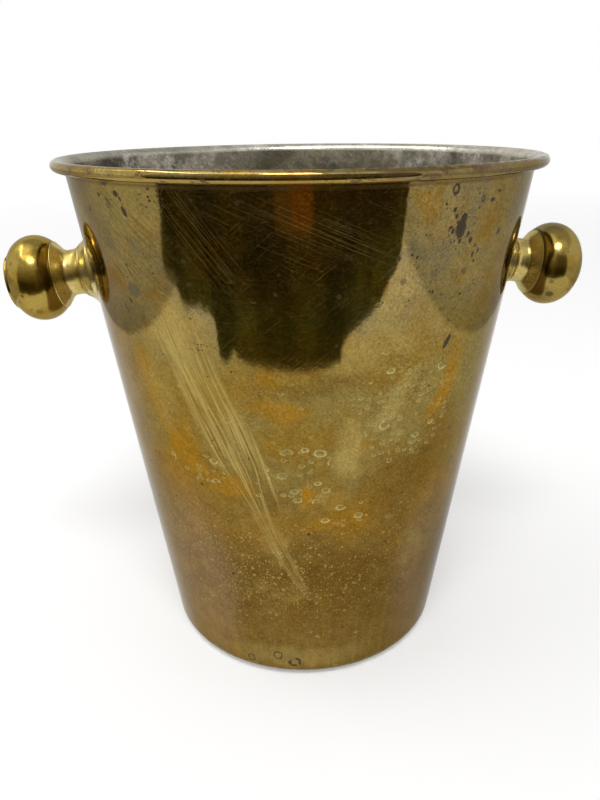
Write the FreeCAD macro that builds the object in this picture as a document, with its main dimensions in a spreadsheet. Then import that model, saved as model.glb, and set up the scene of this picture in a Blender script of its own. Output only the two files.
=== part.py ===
import FreeCAD, Part
import math
import os
import Sketcher

# A tapered brass wine bucket with a rolled, wired rim and two turned ball handles. Millimetres.
# The origin is the centre of the bucket at table height. +Z is up, and the handles stand on the
# X axis: left at -X, right at +X. Each handle has its own axis, square to the sloping wall, and
# its stations are distances along that axis from the outside of the wall.

SIZES = [
    # the spun shell
    ("bucket_height", 221.3, "table to crown of the rolled rim"),
    ("rim_diameter", 200.0, "over the rolled rim"),
    ("base_diameter", 130.2, "outside of the wall, carried down to table height"),
    ("sheet_thickness", 1.0, "spun sheet"),
    ("bead_diameter", 4.25, "rolled rim, over the sheet"),
    ("bead_gap", 0.5, "rolled rim to the outside of the wall"),
    ("curl_turn", 255.0, "degrees of roll, counted from the crown"),
    ("corner_radius", 7.2, "outside corner of wall and base"),
    ("ring_width", 10.0, "flat ring that the bucket stands on"),
    ("kick_height", 2.0, "rise of the middle of the base"),
    ("kick_run", 7.0, "width of the slope up to it"),
    ("wire_clearance", 0.1, "rim wire to the inside of its curl"),
    # the handles
    ("handle_drop", 46.3, "crown of the rolled rim to a handle's axis, at the wall"),
    ("foot_radius", 16.0, "collar where it meets the wall"),
    ("foot_sink", 4.0, "collar blank inside the wall, before it is cut to the wall's curve"),
    ("foot_edge", 0.3, "straight edge of the collar before it flares"),
    ("collar_length", 4.4, "wall to stem"),
    ("collar_top_radius", 11.7, "collar where it meets the stem"),
    ("flare_radius", 10.0, "hollow of the collar's flare"),
    ("stem_foot_radius", 11.2, "stem where it stands on the collar"),
    ("stem_foot_edge", 0.7, "straight edge of the stem's foot"),
    ("neck_radius", 9.7, "thinnest part of the stem"),
    ("neck_start", 4.0, "collar to the start of the neck"),
    ("cove_radius", 3.6, "hollow between neck and shoulder"),
    ("shoulder_angle", 50.0, "shoulder, in degrees from the handle's axis"),
    ("stem_length", 11.7, "collar to ball"),
    ("stem_lip", 0.5, "straight edge of the shoulder at the ball"),
    ("edge_round", 0.3, "broken edges of collar, stem and ball"),
    ("ball_radius", 18.3, "ball at its widest"),
    ("ball_round", 11.2, "radius of the ball's outline"),
    ("ball_seat_radius", 14.2, "shoulder where it meets the ball"),
    ("ball_face_radius", 12.0, "flat outer end of the ball"),
    ("seam_chamfer", 0.4, "groove between ball and stem"),
    ("button_land", 0.45, "ring of the ball's face left round the button"),
    ("button_round", 0.4, "rounded edge of the button"),
    ("button_dome", 0.5, "rise of the button's middle"),
    ("left_button_proud", 1.2, "button's edge above the ball's face, left"),
    ("right_button_proud", 0.6, "button's edge above the ball's face, right"),
    ("peg_radius", 5.0, "button's peg in the ball"),
    ("peg_length", 5.0, "button's peg in the ball"),
    ("peg_clearance", 0.03, "peg to its hole"),
    # the fixings
    ("stud_diameter", 6.0, "threaded stud, modelled plain"),
    ("stud_reach", 9.0, "stud in the ball"),
    ("stud_chamfer", 0.5, "both ends of the stud"),
    ("thread_clearance", 0.04, "stud to the tapped holes"),
    ("drill_clearance", 0.25, "stud to the plain holes"),
    ("end_clearance", 0.8, "stud or peg to the bottom of its hole"),
    ("washer_radius", 8.0, "saddle washer inside the wall"),
    ("washer_thickness", 1.6, "saddle washer at its middle"),
    ("nut_width", 10.0, "cap nut across its flats"),
    ("nut_height", 5.0, "hexagon of the cap nut"),
    ("nut_bevel", 0.6, "broken corners of the hexagon, along its axis"),
    ("nut_dome_radius", 4.7, "dome of the cap nut"),
    ("nut_thread", 6.0, "stud in the cap nut"),
]

SIDES = [("left", -1), ("right", 1)]

V = FreeCAD.Vector
ON_XZ = FreeCAD.Placement(V(0, 0, 0), FreeCAD.Rotation(V(1, 0, 0), 90))
FIRST, LAST, CENTRE = 1, 2, 3
X_AXIS = -1
ORIGIN = (-1, 1)

doc = FreeCAD.newDocument("wine_bucket")
sheet = doc.addObject("Spreadsheet::Sheet", "sizes")
for row, (alias, number, meaning) in enumerate(SIZES, 1):
    sheet.set("A%d" % row, alias)
    sheet.set("B%d" % row, str(number))
    sheet.set("C%d" % row, meaning)
    sheet.setAlias("B%d" % row, alias)
doc.recompute()


def cell(alias):
    """A driving size as a number: where a sketch's geometry starts, before its rules move it."""
    return float(sheet.get(alias))


def in_degrees(angle):
    return FreeCAD.Units.Quantity(angle, "deg")


# Sizes worked out from the driving ones, as expressions on the sheet's cells.

BEAD_RADIUS = "sizes.bead_diameter / 2"
BEAD_CENTRE_RADIUS = "(sizes.rim_diameter / 2 - sizes.bead_diameter / 2)"
BEAD_CENTRE_HEIGHT = "(sizes.bucket_height - sizes.bead_diameter / 2)"
BASE_RADIUS = "sizes.base_diameter / 2"
WALL_TOP_RADIUS = "(sizes.rim_diameter / 2 - sizes.bead_diameter - sizes.bead_gap)"
WALL_SLOPE = f"(({WALL_TOP_RADIUS} - {BASE_RADIUS}) / {BEAD_CENTRE_HEIGHT})"
WALL_TILT = f"atan({WALL_SLOPE})"
LEVEL_THICKNESS = f"sizes.sheet_thickness / cos({WALL_TILT})"

HANDLE_HEIGHT = "(sizes.bucket_height - sizes.handle_drop)"
BALL_STATION = "(sizes.collar_length + sizes.stem_length)"
BALL_INSET = "(sizes.ball_radius - sizes.ball_round)"
BALL_LOW = f"sqrt(pow(sizes.ball_round; 2) - pow(sizes.ball_seat_radius - {BALL_INSET}; 2))"
BALL_HIGH = f"sqrt(pow(sizes.ball_round; 2) - pow(sizes.ball_face_radius - {BALL_INSET}; 2))"
BALL_LENGTH = f"({BALL_LOW} + {BALL_HIGH})"
BUTTON_RADIUS = "(sizes.ball_face_radius - sizes.button_land)"

STUD_RADIUS = "sizes.stud_diameter / 2"
PLAIN_HOLE = "(sizes.stud_diameter / 2 + sizes.drill_clearance)"
TAPPED_HOLE = "(sizes.stud_diameter / 2 + sizes.thread_clearance)"
NUT_STATION = "(sizes.sheet_thickness + sizes.washer_thickness)"


def on_handle(side, station="0", inward=False):
    """Placement on a handle's axis at a station; its +Z runs outward, or inward if asked."""
    foot = f"vector({side} * ({BASE_RADIUS} + {HANDLE_HEIGHT} * {WALL_SLOPE}); 0; {HANDLE_HEIGHT})"
    turn = f"{side} * (90 + {WALL_TILT} / 1 deg)"
    at_wall = f"placement({foot}; rotation(vector(0; 1; 0); {turn}))"
    flip = "180" if inward else "0"
    along = f"placement(vector(0; 0; {station}); rotation(vector(0; 1; 0); {flip}))"
    return f"{at_wall} * {along}"


def back(item):
    """An arc that the outline follows from its end to its start."""
    return (item, LAST, FIRST)


class Outline:
    """Geometry and rules in one sketch, where x is a radius and y a height along the axis."""

    def __init__(self, sketch):
        self.sketch = sketch

    def line(self, start, end, guide=False):
        return self.sketch.addGeometry(Part.LineSegment(V(*start, 0), V(*end, 0)), guide)

    def arc(self, centre, radius, first, last):
        """An arc that runs anticlockwise between two angles in degrees."""
        circle = Part.Circle(V(*centre, 0), V(0, 0, 1), radius)
        span = [in_degrees(angle).getValueAs("rad").Value for angle in (first, last)]
        return self.sketch.addGeometry(Part.ArcOfCircle(circle, *span), False)

    def rule(self, kind, *where):
        return self.sketch.addConstraint(Sketcher.Constraint(kind, *where))

    def size(self, kind, expression, *where):
        """A dimension that follows an expression."""
        index = self.rule(kind, *where)
        self.sketch.setExpression("Constraints[%d]" % index, expression)

    def at(self, point, radius=None, height=None):
        """Holds a point at a radius, a height or both, each counted from the sketch's origin."""
        start = self.sketch.getPoint(*point)
        if radius is not None:
            self.size("DistanceX", radius, *ORIGIN, *point, start.x)
        if height is not None:
            self.size("DistanceY", height, *ORIGIN, *point, start.y)

    def run(self, items, smooth=(), closed=True):
        """Joins items end to end, tangent where the first of a pair is listed as smooth."""
        ends = [item if isinstance(item, tuple) else (item, FIRST, LAST) for item in items]
        pairs = zip(ends, ends[1:] + ends[:1]) if closed else zip(ends, ends[1:])
        for (one, _, leaves), (other, meets, _) in pairs:
            kind = "Tangent" if one in smooth else "Coincident"
            self.rule(kind, one, leaves, other, meets)

    def polygon(self, corners):
        """A closed outline of straight lines. Each corner has its start and its two expressions."""
        starts = [corner[0] for corner in corners]
        lines = [self.line(start, end) for start, end in zip(starts, starts[1:] + starts[:1])]
        self.run(lines)
        for line, (_, radius, height) in zip(lines, corners):
            self.at((line, FIRST), radius, height)


def new_body(label, placement):
    body = doc.addObject("PartDesign::Body", label)
    body.Label = label
    body.setExpression("Placement", placement)
    return body


def new_sketch(body, name, plane="XZ_Plane"):
    sketch = body.newObject("Sketcher::SketchObject", name)
    support = [item for item in body.Origin.OriginFeatures if item.Role == plane][0]
    sketch.AttachmentSupport = [(support, "")]
    sketch.MapMode = "FlatFace"
    doc.recompute()
    return sketch


def turn(body, sketch, kind="PartDesign::Revolution"):
    """Turns a sketch once round the body's own Z axis, as material or as a cut."""
    feature = body.newObject(kind, sketch.Name + "_turned")
    feature.Profile = sketch
    feature.ReferenceAxis = (sketch, ["V_Axis"])
    feature.Angle = 360
    doc.recompute()
    return feature


def round_edges(body, base, radii, height):
    """Rounds a turned feature's circular edges that lie at a height and have one of the radii."""
    names = []
    for index, edge in enumerate(base.Shape.Edges, 1):
        circle = edge.Curve
        if not isinstance(circle, Part.Circle):
            continue
        centre = circle.Center
        level = abs(centre.z - height) < 1e-4
        if level and any(abs(circle.Radius - radius) < 1e-4 for radius in radii):
            names.append("Edge%d" % index)
    fillet = body.newObject("PartDesign::Fillet", base.Name + "_rounded")
    fillet.Base = (base, names)
    fillet.setExpression("Radius", "sizes.edge_round")
    return fillet


def rod(name, radius, length, placement):
    """A plain cylinder along a handle's axis."""
    cylinder = doc.addObject("Part::Cylinder", name)
    cylinder.setExpression("Radius", radius)
    cylinder.setExpression("Height", length)
    cylinder.setExpression("Placement", placement)
    return cylinder


def boolean(kind, name, base, tool):
    result = doc.addObject(kind, name)
    result.Label = name
    result.Base = base
    result.Tool = tool
    return result


def wall_cone(name, inset):
    """The solid inside one skin of the sloping wall, from the table to the rolled rim."""
    cone = doc.addObject("Part::Cone", name)
    cone.setExpression("Radius1", f"{BASE_RADIUS} - {inset}")
    cone.setExpression("Radius2", f"{WALL_TOP_RADIUS} - {inset}")
    cone.setExpression("Height", BEAD_CENTRE_HEIGHT)
    return cone


def shell_skin():
    """The outer skin of the sheet: base, corner, wall, lip and the inside of the rim's curl."""
    sketch = doc.addObject("Sketcher::SketchObject", "shell_skin")
    sketch.Placement = ON_XZ
    skin = Outline(sketch)
    base, corner, kick = cell("base_diameter") / 2, cell("corner_radius"), cell("kick_height")
    bead, crown = cell("bead_diameter") / 2, cell("bucket_height")
    crown_radius = cell("rim_diameter") / 2 - bead
    curl_radius = bead - cell("sheet_thickness")
    wall_top = crown_radius - bead - cell("bead_gap")
    lip = crown_radius - wall_top
    ring_outer = base - corner
    ring_inner = ring_outer - cell("ring_width")
    kick_edge = ring_inner - cell("kick_run")
    lean = math.degrees(math.atan2(wall_top - base, crown - bead))

    middle = skin.line((0, kick), (kick_edge, kick))
    slope = skin.line((kick_edge, kick), (ring_inner, 0))
    ring = skin.line((ring_inner, 0), (ring_outer, 0))
    bend = skin.arc((ring_outer, corner), corner, -90, -lean)
    wall = skin.line((base, corner), (wall_top, crown - 2 * bead))
    flare = skin.arc((crown_radius, crown - lip), lip, 90, 180 - lean)
    curl = skin.arc((crown_radius, crown - bead), curl_radius, 90 - cell("curl_turn"), 90)
    wall_line = skin.line((base, 0), (wall_top, crown - bead), guide=True)

    skin.run([middle, slope, ring, bend, wall, back(flare), back(curl)], smooth=(ring, bend, wall, flare),
             closed=False)
    skin.rule("Horizontal", middle)
    skin.rule("Horizontal", ring)
    skin.at((middle, FIRST), "0", "sizes.kick_height")
    skin.at((ring, FIRST), height="0")
    skin.size("DistanceX", "sizes.kick_run", slope, FIRST, slope, LAST, cell("kick_run"))
    skin.size("DistanceX", "sizes.ring_width", ring, FIRST, ring, LAST, cell("ring_width"))
    skin.size("Radius", "sizes.corner_radius", bend, corner)
    skin.at((wall_line, FIRST), BASE_RADIUS, "0")
    skin.at((wall_line, LAST), WALL_TOP_RADIUS, BEAD_CENTRE_HEIGHT)
    skin.rule("PointOnObject", wall, FIRST, wall_line)
    skin.rule("PointOnObject", wall, LAST, wall_line)
    skin.at((curl, CENTRE), BEAD_CENTRE_RADIUS, BEAD_CENTRE_HEIGHT)
    skin.rule("Vertical", curl, CENTRE, curl, LAST)
    skin.size("Radius", f"{BEAD_RADIUS} - sizes.sheet_thickness", curl, curl_radius)
    skin.size("Angle", "sizes.curl_turn", curl, in_degrees(cell("curl_turn")))
    return sketch


def bucket_shell():
    """The spun shell, one sheet thick all over, drilled on each handle's axis."""
    section = doc.addObject("Part::Offset2D", "shell_section")
    section.Source = shell_skin()
    section.setExpression("Value", "sizes.sheet_thickness")
    section.Mode = "Skin"
    section.Join = "Intersection"
    section.Fill = True
    shell = doc.addObject("Part::Revolution", "shell_spun")
    shell.Source = section
    shell.Axis = V(0, 0, 1)
    shell.Angle = 360
    shell.Solid = True
    for name, side in SIDES:
        inside = on_handle(side, "-2 * sizes.sheet_thickness")
        drill = rod(f"{name}_wall_drill", PLAIN_HOLE, "3 * sizes.sheet_thickness", inside)
        shell = boolean("Part::Cut", f"{name}_drilled_shell", shell, drill)
    shell.Label = "bucket_shell"
    return shell


def rim_wire():
    """The wire that the rim is rolled over."""
    wire = doc.addObject("Part::Torus", "rim_wire")
    wire.Label = "rim_wire"
    wire.setExpression("Radius1", BEAD_CENTRE_RADIUS)
    wire.setExpression("Radius2", f"{BEAD_RADIUS} - sizes.sheet_thickness - sizes.wire_clearance")
    wire.setExpression("Placement.Base.z", BEAD_CENTRE_HEIGHT)
    return wire


def knob_collar(name, side, wall):
    """The flared foot of a handle, cut to the curve of the wall it stands on."""
    body = new_body(f"{name}_collar_blank", on_handle(side, "-sizes.foot_sink"))
    sketch = new_sketch(body, f"{name}_collar_outline")
    outline = Outline(sketch)
    hole = cell("stud_diameter") / 2 + cell("drill_clearance")
    foot, top = cell("foot_radius"), cell("collar_top_radius")
    edge = cell("foot_sink") + cell("foot_edge")
    end = cell("foot_sink") + cell("collar_length")
    hollow = cell("flare_radius")
    sweep_end = 180 + math.degrees(math.acos((top + hollow - foot) / hollow))

    floor = outline.line((hole, 0), (foot, 0))
    rise = outline.line((foot, 0), (foot, edge))
    flare = outline.arc((top + hollow, end), hollow, 180, sweep_end)
    face = outline.line((top, end), (hole, end))
    bore = outline.line((hole, end), (hole, 0))
    outline.run([floor, rise, back(flare), face, bore])
    outline.at((floor, FIRST), PLAIN_HOLE, "0")
    outline.at((floor, LAST), "sizes.foot_radius", "0")
    outline.at((rise, LAST), "sizes.foot_radius", "sizes.foot_sink + sizes.foot_edge")
    outline.at((face, FIRST), "sizes.collar_top_radius", "sizes.foot_sink + sizes.collar_length")
    outline.at((face, LAST), PLAIN_HOLE, "sizes.foot_sink + sizes.collar_length")
    outline.size("Radius", "sizes.flare_radius", flare, hollow)
    blank = turn(body, sketch)
    round_edges(body, blank, [top], end)
    return boolean("Part::Cut", f"{name}_collar", body, wall)


def knob_stem(name, side):
    """The turned stem: a small foot, a neck, and a shoulder that carries the ball."""
    body = new_body(f"{name}_stem", on_handle(side, "sizes.collar_length"))
    sketch = new_sketch(body, f"{name}_stem_outline")
    outline = Outline(sketch)
    hole = cell("stud_diameter") / 2 + cell("drill_clearance")
    foot, neck, seat = cell("stem_foot_radius"), cell("neck_radius"), cell("ball_seat_radius")
    edge, start, end = cell("stem_foot_edge"), cell("neck_start"), cell("stem_length")
    lip, cove, lean = end - cell("stem_lip"), cell("cove_radius"), cell("shoulder_angle")
    waist = (start + end) / 2
    sweep_end = 180 + math.degrees(math.acos((neck + start - foot) / start))

    floor = outline.line((hole, 0), (foot, 0))
    rise = outline.line((foot, 0), (foot, edge))
    flare = outline.arc((neck + start, start), start, 180, sweep_end)
    straight = outline.line((neck, start), (neck, waist))
    hollow = outline.arc((neck + cove, waist), cove, 180 - lean, 180)
    shoulder = outline.line((neck + cove / 2, waist + cove), (seat, lip))
    rim = outline.line((seat, lip), (seat, end))
    face = outline.line((seat, end), (hole, end))
    bore = outline.line((hole, end), (hole, 0))
    outline.run([floor, rise, back(flare), straight, back(hollow), shoulder, rim, face, bore],
                smooth=(flare, straight, hollow))
    outline.rule("Vertical", straight)
    outline.at((floor, FIRST), PLAIN_HOLE, "0")
    outline.at((floor, LAST), "sizes.stem_foot_radius", "0")
    outline.at((rise, LAST), "sizes.stem_foot_radius", "sizes.stem_foot_edge")
    outline.at((straight, FIRST), "sizes.neck_radius", "sizes.neck_start")
    outline.size("Radius", "sizes.cove_radius", hollow, cove)
    outline.size("Angle", "90 - sizes.shoulder_angle", X_AXIS, shoulder, in_degrees(90 - lean))
    outline.at((rim, FIRST), "sizes.ball_seat_radius", "sizes.stem_length - sizes.stem_lip")
    outline.at((rim, LAST), "sizes.ball_seat_radius", "sizes.stem_length")
    outline.at((face, LAST), PLAIN_HOLE, "sizes.stem_length")
    turned = turn(body, sketch)
    round_edges(body, turned, [seat], end)
    return body


def knob_ball(name, side):
    """The flattened ball, tapped for the stud and bored for the button's peg."""
    body = new_body(f"{name}_ball", on_handle(side, BALL_STATION))
    sketch = new_sketch(body, f"{name}_ball_outline")
    outline = Outline(sketch)
    seat, face, groove = cell("ball_seat_radius"), cell("ball_face_radius"), cell("seam_chamfer")
    bend, peg, tap = cell("ball_round"), cell("peg_radius"), cell("stud_diameter") / 2
    inset = cell("ball_radius") - bend
    middle = math.sqrt(bend ** 2 - (seat - inset) ** 2)
    high = middle + math.sqrt(bend ** 2 - (face - inset) ** 2)
    low_angle = -math.degrees(math.asin(middle / bend))
    high_angle = math.degrees(math.asin((high - middle) / bend))
    tap_end, peg_end = cell("stud_reach"), high - cell("peg_length")
    tap_depth = "(sizes.stud_reach + sizes.end_clearance)"
    peg_depth = f"({BALL_LENGTH} - sizes.peg_length - sizes.end_clearance)"
    peg_hole = "(sizes.peg_radius + sizes.peg_clearance)"

    seat_face = outline.line((tap, 0), (seat - groove, 0))
    bevel = outline.line((seat - groove, 0), (seat, groove))
    bulge = outline.arc((inset, middle), bend, low_angle, high_angle)
    end_face = outline.line((face, high), (peg, high))
    peg_wall = outline.line((peg, high), (peg, peg_end))
    peg_floor = outline.line((peg, peg_end), (0, peg_end))
    core = outline.line((0, peg_end), (0, tap_end))
    tap_floor = outline.line((0, tap_end), (tap, tap_end))
    tap_wall = outline.line((tap, tap_end), (tap, 0))
    outline.run([seat_face, bevel, bulge, end_face, peg_wall, peg_floor, core, tap_floor, tap_wall])
    outline.at((seat_face, FIRST), TAPPED_HOLE, "0")
    outline.at((seat_face, LAST), "sizes.ball_seat_radius - sizes.seam_chamfer", "0")
    outline.at((bevel, LAST), height="sizes.seam_chamfer")
    outline.at((bulge, CENTRE), BALL_INSET, BALL_LOW)
    outline.size("Radius", "sizes.ball_round", bulge, bend)
    outline.at((bulge, LAST), height=BALL_LENGTH)
    outline.at((end_face, LAST), peg_hole, BALL_LENGTH)
    outline.at((peg_wall, LAST), peg_hole, peg_depth)
    outline.at((core, FIRST), "0", peg_depth)
    outline.at((core, LAST), "0", tap_depth)
    outline.at((tap_floor, LAST), TAPPED_HOLE, tap_depth)
    turned = turn(body, sketch)
    top = max(vertex.Z for vertex in sketch.Shape.Vertexes)
    round_edges(body, turned, [face], top)
    return body


def end_button(name, side):
    """The round button that closes the ball's outer end, with its peg."""
    face_station = f"{BALL_STATION} + {BALL_LENGTH}"
    body = new_body(f"{name}_knob_end_button", on_handle(side, f"{face_station} - sizes.peg_length"))
    sketch = new_sketch(body, f"{name}_button_outline")
    outline = Outline(sketch)
    peg, length, corner = cell("peg_radius"), cell("peg_length"), cell("button_round")
    disc, dome = cell("ball_face_radius") - cell("button_land"), cell("button_dome")
    edge = length + cell(f"{name}_button_proud")
    dome_radius = disc ** 2 / dome / 2
    join = math.degrees(math.acos((disc - corner) / (dome_radius - corner)))
    shoulder = f"sizes.peg_length + sizes.{name}_button_proud - sizes.button_round"
    crown = f"sizes.peg_length + sizes.{name}_button_proud + sizes.button_dome"

    peg_end = outline.line((0, 0), (peg, 0))
    peg_side = outline.line((peg, 0), (peg, length))
    under = outline.line((peg, length), (disc, length))
    rim = outline.line((disc, length), (disc, edge - corner))
    rounding = outline.arc((disc - corner, edge - corner), corner, 0, join)
    top = outline.arc((0, edge + dome - dome_radius), dome_radius, join, 90)
    axis = outline.line((0, edge + dome), (0, 0))
    outline.run([peg_end, peg_side, under, rim, rounding, top, axis], smooth=(rounding,))
    outline.at((peg_end, FIRST), "0", "0")
    outline.at((peg_side, FIRST), "sizes.peg_radius", "0")
    outline.at((under, FIRST), "sizes.peg_radius", "sizes.peg_length")
    outline.at((rim, FIRST), BUTTON_RADIUS, "sizes.peg_length")
    outline.at((rounding, FIRST), BUTTON_RADIUS, shoulder)
    outline.at((rounding, CENTRE), f"{BUTTON_RADIUS} - sizes.button_round", shoulder)
    outline.at((top, LAST), "0", crown)
    outline.at((top, CENTRE), radius="0")
    turn(body, sketch)
    return body


def knob_stud(name, side):
    """The stud that runs from the cap nut through wall, collar and stem into the ball."""
    start = f"({NUT_STATION} + sizes.nut_thread)"
    body = new_body(f"{name}_stud", on_handle(side, f"-{start}"))
    sketch = new_sketch(body, f"{name}_stud_outline")
    radius, bevel = cell("stud_diameter") / 2, cell("stud_chamfer")
    end = cell("nut_thread") + cell("collar_length") + cell("stem_length") + cell("stud_reach")
    length = f"({start} + {BALL_STATION} + sizes.stud_reach)"
    narrow = f"{STUD_RADIUS} - sizes.stud_chamfer"
    Outline(sketch).polygon([
        ((0, 0), "0", "0"),
        ((radius - bevel, 0), narrow, "0"),
        ((radius, bevel), STUD_RADIUS, "sizes.stud_chamfer"),
        ((radius, end - bevel), STUD_RADIUS, f"{length} - sizes.stud_chamfer"),
        ((radius - bevel, end), narrow, length),
        ((0, end), "0", length),
    ])
    turn(body, sketch)
    return body


def inner_washer(name, side, inside):
    """The saddle washer: flat to the nut, and curved to the inside of the wall."""
    start = on_handle(side, f"-{NUT_STATION}")
    blank = rod(f"{name}_washer_blank", "sizes.washer_radius", "2 * sizes.washer_thickness", start)
    hole = rod(f"{name}_washer_hole", PLAIN_HOLE, "2 * sizes.washer_thickness", start)
    ring = boolean("Part::Cut", f"{name}_washer_ring", blank, hole)
    return boolean("Part::Common", f"{name}_inner_washer", ring, inside)


def cap_nut(name, side):
    """The domed nut inside the bucket. Its thread is modelled plain."""
    body = new_body(f"{name}_cap_nut", on_handle(side, f"-{NUT_STATION}", inward=True))
    height, dome_radius, tap = cell("nut_height"), cell("nut_dome_radius"), cell("stud_diameter") / 2
    corner = cell("nut_width") / 3 ** 0.5
    tap_depth = "(sizes.nut_thread + sizes.end_clearance)"
    corner_radius = "sizes.nut_width / sqrt(3)"

    plan = new_sketch(body, f"{name}_nut_hexagon", "XY_Plane")
    hexagon = Outline(plan)
    turns = [FreeCAD.Rotation(V(0, 0, 1), 60 * step).multVec(V(corner, 0, 0)) for step in range(6)]
    points = [(point.x, point.y) for point in turns]
    sides = [hexagon.line(one, other) for one, other in zip(points, points[1:] + points[:1])]
    circle = plan.addGeometry(Part.Circle(V(0, 0, 0), V(0, 0, 1), corner), True)
    hexagon.run(sides)
    hexagon.rule("Coincident", circle, CENTRE, *ORIGIN)
    hexagon.size("Radius", corner_radius, circle, corner)
    for flat in sides:
        hexagon.rule("PointOnObject", flat, FIRST, circle)
    for flat in sides[1:]:
        hexagon.rule("Equal", sides[0], flat)
    hexagon.rule("PointOnObject", sides[0], FIRST, X_AXIS)
    pad = body.newObject("PartDesign::Pad", f"{name}_nut_pad")
    pad.Profile = plan
    pad.setExpression("Length", "sizes.nut_height")

    dome_sketch = new_sketch(body, f"{name}_nut_dome")
    outline = Outline(dome_sketch)
    floor = outline.line((0, height), (dome_radius, height))
    dome = outline.arc((0, height), dome_radius, 0, 90)
    axis = outline.line((0, height + dome_radius), (0, height))
    outline.run([floor, dome, axis])
    outline.at((floor, FIRST), "0", "sizes.nut_height")
    outline.at((floor, LAST), "sizes.nut_dome_radius", "sizes.nut_height")
    outline.rule("Coincident", dome, CENTRE, floor, FIRST)
    outline.rule("Vertical", axis)
    turn(body, dome_sketch)

    bevel_sketch = new_sketch(body, f"{name}_nut_bevel")
    flat_radius, bevel = cell("nut_width") / 2, cell("nut_bevel")
    Outline(bevel_sketch).polygon([
        ((flat_radius, height), "sizes.nut_width / 2", "sizes.nut_height"),
        ((corner, height - bevel), corner_radius, "sizes.nut_height - sizes.nut_bevel"),
        ((corner, height), corner_radius, "sizes.nut_height"),
    ])
    turn(body, bevel_sketch, "PartDesign::Groove")

    thread_sketch = new_sketch(body, f"{name}_nut_thread")
    depth = cell("nut_thread")
    Outline(thread_sketch).polygon([
        ((0, 0), "0", "0"),
        ((tap, 0), TAPPED_HOLE, "0"),
        ((tap, depth), TAPPED_HOLE, tap_depth),
        ((0, depth), "0", tap_depth),
    ])
    turn(body, thread_sketch, "PartDesign::Groove")
    return body


outer_cone = wall_cone("wall_outside", "0")
inner_cone = wall_cone("wall_inside", LEVEL_THICKNESS)
pieces = [bucket_shell(), rim_wire()]
for handle, direction in SIDES:
    pieces.append(knob_collar(f"{handle}_knob", direction, outer_cone))
    pieces.append(knob_stem(f"{handle}_knob", direction))
    pieces.append(knob_ball(f"{handle}_knob", direction))
    pieces.append(end_button(handle, direction))
    pieces.append(knob_stud(f"{handle}_knob", direction))
    pieces.append(inner_washer(handle, direction, inner_cone))
    pieces.append(cap_nut(handle, direction))
doc.recompute()

for item in doc.Objects:
    if "Invalid" in item.State or "Error" in item.State:
        raise RuntimeError("%s did not build: %s" % (item.Label, item.State))
for piece in pieces:
    if piece.Shape.isNull() or not piece.Shape.isValid() or len(piece.Shape.Solids) != 1:
        raise RuntimeError("%s is not one valid solid" % piece.Label)

os.makedirs("parts", exist_ok=True)
for piece in pieces:
    piece.Shape.exportStep("parts/%s.step" % piece.Label)
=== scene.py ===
from math import cos, pi, sin

import bpy
from mathutils import Matrix, Vector


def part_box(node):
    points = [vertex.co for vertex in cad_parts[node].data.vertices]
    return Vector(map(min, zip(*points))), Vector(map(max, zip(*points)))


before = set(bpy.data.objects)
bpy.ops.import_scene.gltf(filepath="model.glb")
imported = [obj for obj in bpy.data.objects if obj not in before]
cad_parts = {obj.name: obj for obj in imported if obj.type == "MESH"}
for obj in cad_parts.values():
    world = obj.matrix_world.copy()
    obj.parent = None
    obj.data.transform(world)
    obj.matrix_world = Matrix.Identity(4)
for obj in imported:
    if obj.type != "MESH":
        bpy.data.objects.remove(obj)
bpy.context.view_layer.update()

# A tapered brass bucket with a silvered inside, on a pale table. Metres, in the frame's own axes:
# the front is -Y, up is +Z, and the handles stand on the X axis.

scene = bpy.context.scene

# The camera and the table stand in a view frame, turned a little about +Z. Angles are in radians.
VIEW_TURN = -0.0797
VIEW = Matrix.Rotation(VIEW_TURN, 4, "Z")
EYE = (-0.00087, -0.3074, 0.2359)
EYE_TILT = -0.3917
EYE_HEADING = 0.0005
EYE_ROLL = -0.0120
SENSOR_HEIGHT_MM, LENS_MM = 36, 31.06

# The shell: the frame gives its height and its rim, and the rest is as in the CAD.
BUCKET_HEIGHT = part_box("bucket_shell")[1].z
RIM_RADIUS = (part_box("bucket_shell")[1].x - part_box("bucket_shell")[0].x) / 2
BASE_RADIUS = 0.0651
WALL_SLOPE = 0.13756
SHEET = 0.001
BEAD_RADIUS = 0.002125

# Places on the wall are given as (how far round from the front, height), both in metres. The first
# is an angle times this radius.
WRAP_RADIUS = 0.082

# The handles' axes stand square to the wall: distance along one is this much of |x| less this much
# of z, and it comes to these values where the collar meets the stem and the stem meets the ball.
AXIS_RUN, AXIS_FALL = 0.9907, 0.1363
COLLAR_JOINT, BALL_JOINT = 0.0689, 0.0806


def tone(red, green, blue):
    """A colour as it shows on screen, 0 to 255, as the linear values that shaders take."""
    parts = [channel / 255 for channel in (red, green, blue)]
    return tuple(c / 12.92 if c <= 0.04045 else ((c + 0.055) / 1.055) ** 2.4 for c in parts)


class Value:
    """A number that varies over a surface. Arithmetic on it adds Math nodes."""

    def __init__(self, graph, socket):
        self.graph = graph
        self.socket = socket

    def __add__(self, other):
        return self.graph.math("ADD", self, other)

    def __sub__(self, other):
        return self.graph.math("SUBTRACT", self, other)

    def __rsub__(self, other):
        return self.graph.math("SUBTRACT", other, self)

    def __mul__(self, other):
        return self.graph.math("MULTIPLY", self, other)

    def __truediv__(self, other):
        return self.graph.math("DIVIDE", self, other)

    def __neg__(self):
        return self * -1

    __radd__ = __add__
    __rmul__ = __mul__


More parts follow.
